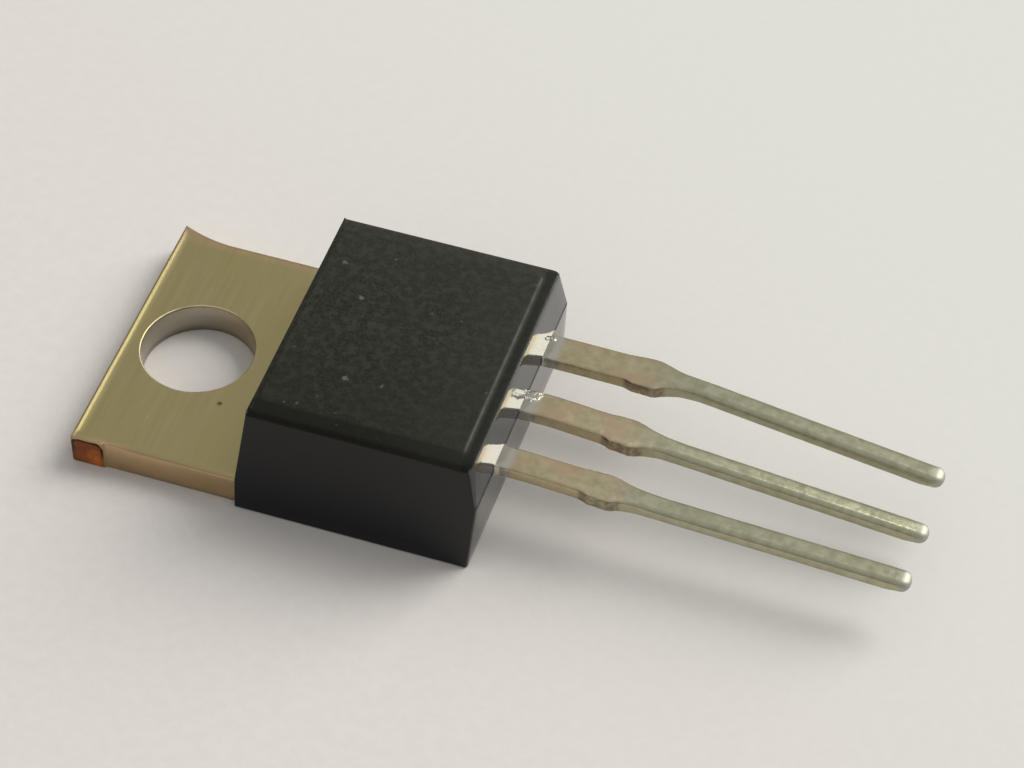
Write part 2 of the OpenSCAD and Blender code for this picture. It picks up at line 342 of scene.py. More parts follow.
# The painted highlight along the ridge before the lead end: its line, and how far it runs to either side
RIDGE_X = 10.935
RIDGE_HALF = 3.95


def plastic_base(m, grain):
    """The matt plastic's mottled colour, with painted shade toward the near edge and past the ridge at the
    lead end, and a painted sheen that makes it paler toward the leads and the far side.
    """
    blotch = m.noise(3.4, 3.0, 0.6)
    cloud = m.noise(0.45)
    pale = (0.0400, 0.0410, 0.0310)
    base = m.mix(m.span(grain, 0.3, 0.7), (0.0090, 0.0093, 0.0050), (0.0262, 0.0267, 0.0174))
    base = m.mix(m.span(blotch, 0.42, 0.66, 0.0, 0.80), base, (0.0370, 0.0378, 0.0266))
    base = m.mix(m.span(cloud, 0.35, 0.7, 0.0, 0.3), base, (0.0270, 0.0278, 0.0190))
    # Painted shade: darker toward the near side, and a dark painted band along the near edge.
    base = m.mix(m.fade(m.y, -4.3, 0.5, 0.42), base, (0.0085, 0.0090, 0.0050))
    base = m.mix(m.fade(m.y, -4.16, -4.02, 0.80), base, (0.0065, 0.0070, 0.0036))
    # Painted sheen: paler toward the leads and toward the far side.
    base = m.mix(m.span(m.x, 7.5, 11.0, 0.0, 0.22), base, pale)
    base = m.mix(m.span(m.y, 0.5, 4.6, 0.0, 0.30), base, pale)
    # Painted shade: the margin past the ridge at the lead end is darkened.
    return m.mix(m.span(m.x, 10.97, 11.03, 0.0, 0.6), base, (0.0075, 0.0080, 0.0045))


def plastic_matt():
    """The matt top, with a painted highlight along the ridge before the lead end, scattered pale specks and
    fine pits.
    """
    m = Nodes("body_plastic_matt")
    grain = m.noise(11.0, 3.0, 0.6)
    base = plastic_base(m, grain)
    # Painted highlight: a pale, patchy line along the low step of the ridge before the lead end.
    wear_and_highlight_patches = m.span(m.noise(1.7, 3.0, 0.6), 0.3, 0.6, 0.25, 0.60)
    ridge_highlight = m.times(m.band(m.x, RIDGE_X, 0.012, 0.033), m.band(m.y, 0.0, RIDGE_HALF, 0.15), wear_and_highlight_patches)
    base = m.mix(ridge_highlight, base, (0.105, 0.108, 0.088))
    dist, chance = m.cells(2.1)
    ragged = m.plus(dist, m.span(m.noise(9.0), 0.3, 0.7, -0.07, 0.07))
    picked = m.math("GREATER_THAN", chance[0], 0.62)
    strength = m.span(chance[1], 0.0, 1.0, 0.1, 0.8)
    base = m.mix(m.times(m.fade(ragged, 0.03, 0.14), picked, strength), base, (0.075, 0.077, 0.062))
    for point, radius in TOP_SPECKS:
        base = m.mix(m.near(point, radius, 0.04, 0.05), base, (0.105, 0.107, 0.090))
    pits = m.plus(m.times(grain, 0.7), m.times(m.noise(26.0), 0.3))
    return m.finish(base, m.span(grain, 0.2, 0.8, 0.46, 0.66), m.bump(pits, 0.020, 0.6), specular=0.14)


def moulded_gloss(m, stretched, depth):
    """Faint flow marks under a finer unevenness, for the polished faces."""
    flow = m.noise(1.0, 3.0, 0.5, m.stretch(stretched))
    return m.bump(m.noise(13.0), 0.0010, 0.4, m.bump(flow, depth, 0.5))


def plastic_sides():
    """The glossier moulded sides, with a painted sheen that makes them a little paler toward the leads."""
    m = Nodes("body_plastic_sides")
    cloud = m.noise(0.8, 3.0, 0.5)
    base = m.mix(cloud, (0.0072, 0.0072, 0.0082), (0.0098, 0.0098, 0.0109))
    # Painted sheen: paler toward the lead end.
    base = m.mix(m.span(m.x, 7.0, 11.6, 0.0, 0.55), base, (0.0165, 0.0165, 0.0175))
    normal = moulded_gloss(m, (0.8, 2.4, 2.4), 0.008)
    return m.finish(base, m.span(cloud, 0.3, 0.75, 0.09, 0.16), normal, specular=0.27)


def plastic_end():
    """The polished lead end, painted paler above the parting line as a painted reflection, with a rough seam
    there and a few dull chips.
    """
    m = Nodes("body_plastic_end")
    cloud = m.noise(0.9, 3.0, 0.5)
    base = m.mix(cloud, (0.0068, 0.0068, 0.0078), (0.0098, 0.0098, 0.0108))
    # Painted reflection: the face above the parting line is paler.
    base = m.mix(m.span(m.z, 2.70, 2.85), base, (0.0330, 0.0350, 0.0370))
    seam = m.band(m.z, 2.66, 0.05, 0.06)
    rough = m.plus(m.span(cloud, 0.3, 0.75, 0.08, 0.15), m.times(seam, 0.35))
    for point, radius in END_CHIPS:
        chip = m.near(point, radius, 0.03, 0.04)
        base = m.mix(chip, base, (0.0030, 0.0030, 0.0032))
        rough = m.plus(rough, m.times(chip, 0.45))
    return m.finish(base, rough, moulded_gloss(m, (2.4, 0.9, 2.4), 0.006), specular=0.70)


def plated_edges(m, base):
    """Copper shows faintly through the plating along the tab's two side edges and under its top edge."""
    far = m.span(m.y, 4.45, 4.80, 0.0, 0.8)
    near = m.fade(m.y, -5.00, -4.72)
    low = m.fade(m.z, 0.90, 1.10)
    wear_and_highlight_patches = m.span(m.noise(1.6), 0.3, 0.6, 0.5, 1.0)
    return m.mix(m.times(m.most(far, near, low), wear_and_highlight_patches), base, (0.56, 0.395, 0.225))


def plated_marks(m, base):
    """A dark dot and a short pale scratch on the tab."""
    base = m.mix(m.near((1.61, -2.09, 1.2), 0.040, 0.08, 0.02), base, (0.17, 0.12, 0.065))
    broken = m.span(m.noise(5.0), 0.35, 0.6, 0.0, 0.4)
    scratch = m.times(m.band(m.x, -0.465, 0.010, 0.03), m.band(m.y, -3.68, 0.30, 0.14), broken)
    return m.mix(scratch, base, (0.80, 0.74, 0.52))


def plated(name):
    """Brushed plating on the tab. The bore's wall has a painted reflection of the paper, greyer most on its
    left, with a thin bright lip.
    """
    m = Nodes(name)
    brush = m.noise(1.0, 3.0, 0.6, m.stretch((24.0, 0.8, 24.0)))
    coarse = m.noise(1.0, 2.0, 0.5, m.stretch((5.0, 0.25, 5.0), (3.0, 0.0, 0.0)))
    cloud = m.noise(0.7, 3.0, 0.55)
    base = m.mix(brush, (0.405, 0.339, 0.152), (0.455, 0.386, 0.180))
    base = m.mix(m.span(cloud, 0.35, 0.7, 0.0, 0.5), base, (0.455, 0.370, 0.197))
    base = plated_marks(m, plated_edges(m, base))
    radius = m.length(m.x, m.y)
    # Painted reflection: the bore's wall is greyer, most strongly on its left side.
    wall = m.times(m.fade(radius, BORE_R + 0.005, BORE_R + 0.025), m.fade(m.z, 1.10, 1.16))
    base = m.mix(m.times(wall, m.span(m.x, -0.6, 1.4, 1.0, 0.35)), base, (0.44, 0.405, 0.325))
    outside_bore = m.span(radius, BORE_R + 0.005, BORE_R + 0.020)
    close_to_bore = m.fade(radius, BORE_R + 0.045, BORE_R + 0.065)
    uneven = m.span(m.noise(1.1, 3.0, 0.6), 0.4, 0.6, 0.15, 1.0)
    lip = m.times(outside_bore, close_to_bore, m.span(m.z, 1.12, 1.16), uneven)
    base = m.mix(m.times(lip, 0.45), base, (0.80, 0.74, 0.60))
    rough = m.plus(m.span(coarse, 0.25, 0.75, 0.30, 0.38), m.times(lip, 0.25))
    height = m.plus(m.times(brush, 0.5), m.times(coarse, 0.5))
    return m.finish(base, rough, m.bump(height, 0.003, 0.5), metallic=1.0)


def outside_window(m, middle, half, corner):
    """Distance outside a rounded square on the sheared face, across and up, negative inside it."""
    sides = []
    for value, centre in zip((m.x, m.z), middle):
        off = m.math("ABSOLUTE", m.math("SUBTRACT", value, centre))
        sides.append(m.most(m.math("SUBTRACT", off, half - corner), 0.0))
    return m.math("SUBTRACT", m.length(*sides), corner)


def bare_copper():
    """The sheared face of the near ear: bright copper low down, browner above, in a dark rim and plating."""
    m = Nodes("bare_copper")
    streak = m.noise(1.0, 3.0, 0.6, m.stretch((7.0, 7.0, 2.2)))
    wobble = m.span(m.noise(2.4), 0.3, 0.7, -0.07, 0.07)
    low = m.fade(m.plus(m.z, m.times(wobble, 2.0)), 0.25, 0.95)
    toward_body = m.span(m.span(m.x, -2.3, -1.6), 0.0, 1.0, 0.45, 1.0)
    base = m.mix(m.times(low, toward_body), (0.25, 0.080, 0.033), (0.70, 0.235, 0.065))
    base = m.mix(m.span(streak, 0.45, 0.75, 0.0, 0.5), base, (0.26, 0.085, 0.035))
    out = m.plus(outside_window(m, (-1.975, 0.54), 0.50, 0.22), m.times(wobble, 0.5))
    base = m.mix(m.span(out, 0.05, 0.10), base, (0.52, 0.37, 0.20))
    rim = m.times(m.span(out, -0.04, 0.02), m.fade(out, 0.06, 0.11))
    base = m.mix(m.times(rim, m.span(m.z, 0.35, 0.75, 0.25, 1.0)), base, (0.055, 0.022, 0.012))
    return m.finish(base, m.span(streak, 0.2, 0.8, 0.36, 0.5), m.bump(streak, 0.03, 0.6), metallic=1.0)


def tinned_base(m, mottle):
    """The leads' colour: yellower and copper-stained at the roots, greyer pins, painted shade on the faces
    that look down, and dark sheared stubs.
    """
    patch = m.noise(0.8, 2.0, 0.5, m.stretch((0.7, 1.3, 1.0)))
    root = m.mix(m.span(mottle, 0.25, 0.75), (0.43, 0.365, 0.215), (0.54, 0.475, 0.300))
    root = m.mix(m.span(patch, 0.44, 0.60, 0.0, 0.85), root, (0.53, 0.395, 0.250))
    pin = m.mix(m.span(mottle, 0.25, 0.75), (0.388, 0.374, 0.240), (0.492, 0.476, 0.335))
    base = m.mix(m.span(m.x, 14.4, 16.8), root, pin)
    facing = m.world_normal()
    # Painted shade: faces that look downward are darkened.
    base = m.mix(m.fade(facing[2], -0.75, -0.15, 0.7), base, (0.13, 0.110, 0.085))
    stub = m.band(m.x, 15.15, 0.60, 0.20)
    sheared = m.times(stub, m.fade(facing[1], -0.80, -0.45, 0.7))
    torn = m.span(m.noise(6.0, 3.0, 0.6), 0.35, 0.6, 0.3, 1.0)
    return m.mix(m.times(sheared, torn), base, (0.12, 0.095, 0.070))


def tinned(name):
    """Tinned leads, smooth and greyer where they leave the plastic and pale at their tips."""
    m = Nodes(name)
    mottle = m.noise(3.0, 4.0, 0.6)
    base = tinned_base(m, mottle)
    shiny = m.fade(m.x, 11.95, 12.25)
    base = m.mix(m.times(shiny, 0.8), base, (0.55, 0.54, 0.475))
    tip = m.span(m.x, 24.9, 25.4)
    base = m.mix(m.times(tip, 0.5), base, (0.41, 0.425, 0.425))
    rough = m.math("SUBTRACT", m.span(mottle, 0.2, 0.8, 0.19, 0.25), m.times(shiny, 0.08))
    rough = m.plus(rough, m.times(tip, 0.34))
    uneven = m.plus(m.times(m.noise(5.0, 4.0, 0.6), 0.004), m.times(m.noise(1.5), 0.010))
    uneven = m.times(uneven, m.span(shiny, 0.0, 1.0, 1.0, 0.15))
    flash = m.most(*(m.near(*patch) for patch in TIN_FLASH))
    uneven = m.plus(uneven, m.times(flash, m.times(m.noise(4.0), 0.12)))
    return m.finish(base, rough, m.bump(uneven, 1.0, 0.6), metallic=0.80, specular=0.3)


def simple_metal(name, darker, lighter, scale, smoothest, roughest):
    m = Nodes(name)
    grain = m.noise(scale, 3.0, 0.6)
    rough = m.span(grain, 0.2, 0.8, smoothest, roughest)
    return m.finish(m.mix(grain, darker, lighter), rough, m.bump(grain, 0.006, 0.5), metallic=1.0)


def silicon():
    m = Nodes("silicon_chip")
    grain = m.noise(6.0)
    base = m.mix(grain, (0.10, 0.105, 0.12), (0.16, 0.165, 0.18))
    return m.finish(base, m.span(grain, 0.3, 0.7, 0.16, 0.26), m.bump(grain, 0.001, 0.4), metallic=0.6)


M_MATT = plastic_matt()
M_SIDES = plastic_sides()
M_END = plastic_end()
M_TAB = plated("plated_tab")
M_COPPER = bare_copper()
M_LEAD = tinned("tinned_lead")


# ---------------------------------------------------------------- reading the frame

def triangles(name):
    """Every triangle of a CAD node, as three corners in millimetres."""
    mesh = nodes[name].data
    mesh.calc_loop_triangles()
    corners = np.empty(len(mesh.vertices) * 3)
    mesh.vertices.foreach_get("co", corners)
    corners = corners.reshape(-1, 3) / MM
    return corners[np.array([t.vertices[:] for t in mesh.loop_triangles])]


def box_of(name):
    """Lowest and highest corner of a CAD node, in millimetres."""
    return [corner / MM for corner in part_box(name)]


def cut(tris, axis, at):
    """Lowest and highest corner of where a plane across one axis cuts a node."""
    points = []
    for i, j in ((0, 1), (1, 2), (2, 0)):
        a, b = tris[:, i], tris[:, j]
        da, db = a[:, axis] - at, b[:, axis] - at
        hit = (da * db) < 0
        t = (da[hit] / (da[hit] - db[hit]))[:, None]
        points.append(a[hit] + (b[hit] - a[hit]) * t)
    points = np.concatenate(points)
    return points.min(0), points.max(0)


def line(p, q):
    """A straight law through two (position, value) pairs."""
    slope = (q[1] - p[1]) / (q[0] - p[0])
    return lambda t: p[1] + (t - p[0]) * slope


def clamped(value):
    return min(1.0, max(0.0, value))


# ---------------------------------------------------------------- mesh helpers

def add_piece(name, bm, mats, replaced):
    bmesh.ops.recalc_face_normals(bm, faces=bm.faces)
    mesh = bpy.data.meshes.new(name)
    bm.to_mesh(mesh)
    bm.free()
    for mat in mats:
        mesh.materials.append(mat)
    mesh.shade_smooth()
    # the large level faces are filled with triangles and stay flat
    for polygon in mesh.polygons:
        if len(polygon.vertices) != 4 and abs(polygon.normal.z) > 0.999:
            polygon.use_smooth = False
    piece = place(mesh, name, Matrix.Identity(4))
    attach(piece, "root")
    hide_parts(replaced)


def ring(bm, points):
    return [bm.verts.new(Vector(p) * MM) for p in points]


def bridge(bm, lower, upper, material=0):
    """A band of faces between two rings with as many points each."""
    faces = []
    count = len(lower)
    for i in range(count):
        j = (i + 1) % count
        face = bm.faces.new((lower[i], lower[j], upper[j], upper[i]))
        face.material_index = material
        faces.append(face)
    return faces


def fill_between(bm, outer, inner):
    """Level triangles between two closed rings."""
    edges = []
    for loop in (outer, inner):
        for i, vert in enumerate(loop):
            pair = (vert, loop[(i + 1) % len(loop)])
            edges.append(bm.edges.get(pair) or bm.edges.new(pair))
    bmesh.ops.triangle_fill(bm, use_beauty=True, edges=edges)


def rounded_loop(corners, steps, cuts):
    """Points anticlockwise round corners, and the way each one faces (cosine along the first axis).

    A corner is its round's middle, the angle where the round starts, and its radius.
    """
    points = []
    ways = []
    for k, (cx, cy, start, rad) in enumerate(corners):
        for s in range(steps + 1):
            a = math.radians(start + 90 * s / steps)
            points.append((cx + rad * math.cos(a), cy + rad * math.sin(a)))
            ways.append(math.cos(a))
        nx, ny, turn, next_rad = corners[(k + 1) % len(corners)]
        a = math.radians(turn)
        here = points[-1]
        there = (nx + next_rad * math.cos(a), ny + next_rad * math.sin(a))
        for s in range(1, cuts[k]):
            t = s / cuts[k]
            points.append((here[0] + (there[0] - here[0]) * t, here[1] + (there[1] - here[1]) * t))
            ways.append(ways[-1])
    return points, ways


# ---------------------------------------------------------------- moulded body

MATT, SIDES, END = range(3)
# Corner radii seen from above: over the tab, and at the lead end, where it grows above the parting line
FRONT_CORNER = 0.05
LEAD_CORNER = 0.10
LEAD_CORNER_GROWTH = 0.20
# Round at the foot, and how far the foot is lifted into the tab that it crosses
FOOT_ROUND = 0.07
FOOT_LIFT = 0.015
# How far the margin round the raised field lies below it
MARGIN_DROP = 0.05
# Long sides: the round ends in a slope that rises to the field's edge
SLOPE = math.radians(12)
CREST_Y = 4.10
CREST_Z = 4.435
ARC_STEPS = 6


def wall_law(tris, low_z, high_z, side, axis):
    """A wall's place as a straight law of height. Side 0 is the lowest place on the axis, 1 the highest."""
    low = cut(tris, 2, low_z)[side][axis]
    high = cut(tris, 2, high_z)[side][axis]
    return line((low_z, low), (high_z, high))


def round_over(wall, sign, rad, tilt, end, end_z):
    """A round from a wall (its place as a law of height) to a slope that runs on to (end, end_z)."""
    first = math.pi / 2 - math.atan(abs(wall(1.0) - wall(0.0)))
    last = tilt

    def middle(shift):
        """Middle of the round if it meets the slope this far before the slope's end."""
        edge = end + sign * shift
        z = end_z - shift * math.tan(tilt)
        return edge - sign * rad * math.sin(last), z - rad * math.cos(last)

    def gap(shift):
        """How far the round stays back from the wall."""
        cx, cz = middle(shift)
        return sign * (wall(cz + rad * math.cos(first)) - (cx + sign * rad * math.sin(first)))

    near, far = -1.0, 2.0
    for _ in range(50):
        half_way = (near + far) / 2
        near, far = (half_way, far) if gap(half_way) > 0 else (near, half_way)
    cx, cz = middle(near)
    angles = [first + (last - first) * k / ARC_STEPS for k in range(ARC_STEPS + 1)]
    return [(cx + sign * rad * math.sin(a), cz + rad * math.cos(a)) for a in angles]


def body_outline(x0, x1, half, front_corner, lead_corner):
    corners = ((x1 - lead_corner, -half + lead_corner, -90, lead_corner),
               (x1 - lead_corner, half - lead_corner, 0, lead_corner),
               (x0 + front_corner, half - front_corner, 90, front_corner),
               (x0 + front_corner, -half + front_corner, 180, front_corner))
    points, ways = rounded_loop(corners, ARC_STEPS, (14, 14, 14, 14))
    return np.array(points), np.array(ways)


class Body:
    """The plastic's walls and top, read from the CAD solid."""

    def __init__(self):
        tris = triangles("moulded_body")
        self.half = wall_law(tris, 0.9, 3.6, 1, 1)
        self.end_low = wall_law(tris, 0.3, 2.3, 1, 0)
        self.end_high = wall_law(tris, 3.0, 4.1, 1, 0)
        self.front_low = cut(tris, 2, 0.3)[0][0]
        self.front_high = wall_law(tris, 1.5, 4.1, 0, 0)
        self.field_z = box_of("moulded_body")[1][2]
        self.margin_z = self.field_z - MARGIN_DROP
        top = tris[np.all(tris[:, :, 2] > self.field_z - 1e-4, axis=1)].reshape(-1, 3)
        self.top_start_x = top.min(0)[0]
        self.top_end_x = top.max(0)[0]

    def level(self, z, inset=0.0, end_inset=0.0):
        """A level ring round the walls, drawn in all round and further at the lead end."""
        x1 = min(self.end_low(z), self.end_high(z)) - inset - end_inset
        x0 = max(self.front_low, self.front_high(z)) + inset
        grown = clamped((z - PARTING_Z) / (self.margin_z - PARTING_Z))
        corner = LEAD_CORNER + LEAD_CORNER_GROWTH * grown
        points, _ = body_outline(x0, x1, self.half(z) - inset, FRONT_CORNER, corner)
        return [(x, y, z) for x, y in points]

    def walls(self):
        """The rings from the foot up, with a fine groove in the lead end at the parting line."""
        rings = []
        for s in range(4):
            a = math.radians(90 * s / 3)
            rings.append(self.level(FOOT_ROUND * (1 - math.cos(a)), FOOT_ROUND * (1 - math.sin(a))))
        # where the front passes through the tab, its foot ends inside the metal
        for k, points in enumerate(rings):
            rings[k] = [(x, y, max(z, FOOT_LIFT) if self.over_tab(x, y) else z) for x, y, z in points]
        for z in (0.5, 1.0, TAB_T, 1.7, 2.2, PARTING_Z - 0.08, PARTING_Z - 0.035):
            rings.append(self.level(z))
        for z in (PARTING_Z - 0.012, PARTING_Z + 0.012):
            rings.append(self.level(z, end_inset=0.012))
        for z in (PARTING_Z + 0.035, PARTING_Z + 0.08, 3.1, 3.6, 4.0):
            rings.append(self.level(z))
        return rings

    def over_tab(self, x, y):
        return x < self.front_low + 0.10 and abs(y) < NECK_Y - 0.05

    def side_crest(self):
        """Half width and height, from the wall over its round and up to the field."""
        crest = round_over(self.half, 1, 0.25, SLOPE, CREST_Y, CREST_Z)
        crest.append(((crest[-1][0] + CREST_Y) / 2, (crest[-1][1] + CREST_Z) / 2))
        crest.append((CREST_Y, CREST_Z))
        crest += [(4.06, 4.4435), (4.025, 4.449), (3.95, self.field_z)]
        return crest

    def lead_crest(self):
        """Place and height at the lead end, which has a margin and a low step up to the field."""
        ridge = self.top_end_x - 0.03
        margin = self.margin_z
        crest = round_over(self.end_high, 1, 0.11, 0.0, ridge, margin)
        crest.append(((crest[-1][0] + ridge) / 2, margin))
        crest += [(ridge + 0.022, margin), (ridge + 0.008, margin + 0.025)]
        crest += [(ridge - 0.012, self.field_z - 0.004), (ridge - 0.08, self.field_z)]
        return crest

    def front_crest(self):
        """Place and height over the tab, with the same step."""
        start = self.top_start_x
        margin = self.margin_z
        crest = round_over(self.front_high, -1, 0.12, 0.0, start + 0.09, margin)
        crest.append((crest[-1][0] + 0.01, margin))
        crest += [(start + 0.09, margin + 0.005), (start + 0.11, margin + 0.03)]
        crest += [(start + 0.13, self.field_z), (start + 0.20, self.field_z)]
        return crest

    def crest(self):
        """The rings over the rounds and the margin up to the field, each blended from its three sides."""
        rings = []
        stations = zip(self.side_crest(), self.lead_crest(), self.front_crest())
        for k, (side, lead, front) in enumerate(stations):
            blend = clamped((k - ARC_STEPS) / 3)
            lead_corner = LEAD_CORNER + LEAD_CORNER_GROWTH * (1 - 0.6 * blend)
            points, ways = body_outline(front[0], lead[0], side[0], FRONT_CORNER + 0.08 * blend, lead_corner)
            to_lead = np.maximum(ways, 0.0) ** 2
            to_front = np.maximum(-ways, 0.0) ** 2
            heights = lead[1] * to_lead + front[1] * to_front + side[1] * (1 - to_lead - to_front)
            rings.append([(x, y, z) for (x, y), z in zip(points, heights)])
        return rings

    def recess(self, bm, foot):
        """The underside lies round the metal, which shows in a shallow recess."""
        gap = 0.012
        deep = 0.03
        start = self.front_low + FOOT_ROUND + gap
        neck, hidden = NECK_Y + gap, NECK_END_X + gap
        paddle, reach = PADDLE_Y + gap, PADDLE_END_X + gap
        outline = ((start, -neck), (hidden, -neck), (hidden, -paddle), (reach, -paddle),
                   (reach, paddle), (hidden, paddle), (hidden, neck), (start, neck))
        low_loop = ring(bm, [(x, y, FOOT_LIFT if x == start else 0.0) for x, y in outline])
        high_loop = ring(bm, [(x, y, deep) for x, y in outline])
        bridge(bm, low_loop, high_loop, SIDES)
        bm.faces.new(high_loop)
        fill_between(bm, foot, low_loop)

    def paint(self, bm):
        """The face over the tab is matt like the top, and the lead end is polished."""
        for face in bm.faces:
            face.normal_update()
            middle = face.calc_center_median() / MM
            if face.normal.x < -0.9 and middle.z < self.margin_z - 0.1:
                face.material_index = MATT
            if face.normal.x > 0.5 and middle.z < 4.30 and middle.x > LEAD_START_X:
                face.material_index = END
            if abs(face.normal.z) > 0.9 and middle.z < 0.1:
                face.material_index = SIDES


def polish_end(faces):
    """The first part of the round at the lead end is as glossy as the end itself."""
    for face in faces:
        face.normal_update()
        if face.normal.x > 0.3:
            face.material_index = END


def body_piece():
    body = Body()
    bm = bmesh.new()
    walls = body.walls()
    verts = [ring(bm, points) for points in walls + body.crest()]
    for k, (lower, upper) in enumerate(zip(verts, verts[1:])):
        faces = bridge(bm, lower, upper, SIDES if k < len(walls) else MATT)
        if len(walls) <= k < len(walls) + 3:
            polish_end(faces)
    bm.faces.new(verts[-1]).material_index = MATT
    body.recess(bm, verts[0])
    body.paint(bm)
    add_piece("moulded_shell", bm, (M_MATT, M_SIDES, M_END), "moulded_body")


# ---------------------------------------------------------------- tab and paddle

PLATED, COPPER = range(2)
# The top edge's roll goes down by this share of its width
ROLL_DEPTH = 0.8
# Raised shear burr on the tab's end edge: how far back from the roll, and how high
BURR = ((0.020, 0.048), (0.060, 0.043), (0.12, 0.022), (0.21, 0.007), (0.32, 0.0))
# The bore's wall: how much wider than the bore, and at what height
BORE_LEVELS = ((0.06, 0.0), (0.04, 0.0), (0.0, 0.03), (0.0, 0.35), (0.0, 0.7), (0.0, TAB_T - 0.06),
               (0.007, TAB_T - 0.03), (0.022, TAB_T - 0.009), (0.045, TAB_T), (0.07, TAB_T))
BORE_SEGMENTS = 96


class Outline:
    """A closed outline, anticlockwise. Each point has the roll of the edge that leaves it."""

    def __init__(self):
        self.points = []
        self.rolls = []

    def go(self, x, y, roll):
        self.points.append((x, y))
        self.rolls.append(roll)

    def run(self, start, end, roll, step=0.35, first_roll=None, over=1.0):
        """A straight edge. Its roll may grow from a first one over a first length."""
        length = math.hypot(end[0] - start[0], end[1] - start[1])
        count = max(1, int(length / step))
        for i in range(count):
            t = i / count
            here = roll
            if first_roll is not None:
                here = first_roll + (roll - first_roll) * min(1.0, t * length / over)
            self.go(start[0] + (end[0] - start[0]) * t, start[1] + (end[1] - start[1]) * t, here)

    def scoop(self, start_x, end, ear_y, roll, roll_loss):
        """The scoop from the neck's edge to the pointed ear's tip, where its roll is nearly gone."""
        middle_y = NECK_Y + SCOOP_R
        first = -math.pi / 2
        last = math.atan2(ear_y - middle_y, end - start_x)
        count = 14
        for i in range(count):
            a = first + (last - first) * i / count
            x = start_x + SCOOP_R * math.cos(a)
            y = middle_y + SCOOP_R * math.sin(a)
            self.go(x, y, roll - roll_loss * i / count)

    def close(self):
        self.points = np.array(self.points)
        self.rolls = np.array(self.rolls)
        edge = np.roll(self.points, -1, axis=0) - self.points
        edge /= np.linalg.norm(edge, axis=1)[:, None]
        self.outward = np.c_[edge[:, 1], -edge[:, 0]]
        # a corner goes down by the smaller roll of its two edges
        self.drops = np.minimum(self.rolls, np.roll(self.rolls, 1)) * ROLL_DEPTH

    def inset(self, scale):
        """The outline drawn in by each edge's own roll times a scale."""
        moved = np.empty_like(self.points)
        for i in range(len(self.points)):
            n0, n1 = self.outward[i - 1], self.outward[i]
            r0, r1 = self.rolls[i - 1] * scale, self.rolls[i] * scale
            turn = n0[0] * n1[1] - n0[1] * n1[0]
            if abs(turn) < 0.05:
                normal = (n0 + n1) / np.linalg.norm(n0 + n1)
                moved[i] = self.points[i] - normal * (r0 + r1) / 2
            else:
                dx = (-r0 * n1[1] + r1 * n0[1]) / turn
                dy = (-r1 * n0[0] + r0 * n1[0]) / turn
                moved[i] = self.points[i] + (dx, dy)
        return moved


def tab_outline(end, ear_y):
    """The tab and the paddle from above, how many of its edges are bare copper, and its end edge's points."""
    shape = Outline()
    corner = (end, NEAR_EAR_Y)
    notch_out = (end + NEAR_EAR_LEN, NEAR_EAR_Y)
    notch_in = (end + NEAR_EAR_LEN, -NECK_Y)
    shape.run(corner, notch_out, 0.03, 0.23)
    copper_edges = len(shape.points)
    shape.run(notch_out, notch_in, 0.03)
    shape.run(notch_in, (NECK_END_X, -NECK_Y), 0.26, 0.18, 0.04, 0.9)
    shape.run((NECK_END_X, -NECK_Y), (NECK_END_X, -PADDLE_Y), 0.02)
    shape.run((NECK_END_X, -PADDLE_Y), (PADDLE_END_X, -PADDLE_Y), 0.02, 1.0)
    shape.run((PADDLE_END_X, -PADDLE_Y), (PADDLE_END_X, PADDLE_Y), 0.02, 1.0)
    shape.run((PADDLE_END_X, PADDLE_Y), (NECK_END_X, PADDLE_Y), 0.02, 1.0)
    shape.run((NECK_END_X, PADDLE_Y), (NECK_END_X, NECK_Y), 0.02)
    scoop_x = end + math.sqrt(SCOOP_R * SCOOP_R - (NECK_Y + SCOOP_R - ear_y) ** 2)
    shape.run((NECK_END_X, NECK_Y), (scoop_x, NECK_Y), 0.20)
    shape.scoop(scoop_x, end, ear_y, 0.20, 0.165)
    end_from = len(shape.points)
    shape.run((end, ear_y), corner, 0.04)
    end_points = range(end_from, len(shape.points) + 1)
    shape.close()
    return shape, copper_edges, end_points


def edge_rings(shape):
    """The rings up the tab's edge and over its roll."""
    rings = [[(x, y, 0.0) for x, y in shape.inset(0.06)]]
    foot = 0.02
    rings.append([(x, y, foot) for x, y in shape.points])
    for t in (0.25, 0.5, 0.75):
        rings.append([(x, y, foot + (TAB_T - drop - foot) * t)
                      for (x, y), drop in zip(shape.points, shape.drops)])
    for s in range(8):
        phi = math.radians(90 * s / 7)
        rings.append([(x, y, TAB_T - drop * (1 - math.sin(phi)))
                      for (x, y), drop in zip(shape.inset(1 - math.cos(phi)), shape.drops)])
    return rings


def burr_rings(shape, end_points, ear_y):
    """Beyond the roll the end edge keeps a raised burr that fades toward its ends, and the rest runs flat."""
    count = len(shape.points)
    burr = np.zeros(count)
    for i in end_points:
        y = shape.points[i % count][1]
        burr[i % count] = min(1.0, (ear_y - y) / 0.60, (y - NEAR_EAR_Y) / 0.35 + 0.25)
    flat = shape.inset(1.0)
    inward = flat - shape.points
    inward /= np.linalg.norm(inward, axis=1)[:, None]
    along = np.array([1.0, 0.0])
    rings = []
    for back, rise in BURR:
        rings.append([(*(flat[i] + (along * back * burr[i] + inward[i] * back * 0.12 * (1 - burr[i]))),
                       TAB_T + rise * burr[i]) for i in range(count)])
    return rings


def bore_ring(bm, grow, z):
    turns = [2 * math.pi * i / BORE_SEGMENTS for i in range(BORE_SEGMENTS)]
    return ring(bm, [((BORE_R + grow) * math.cos(a), (BORE_R + grow) * math.sin(a), z) for a in turns])


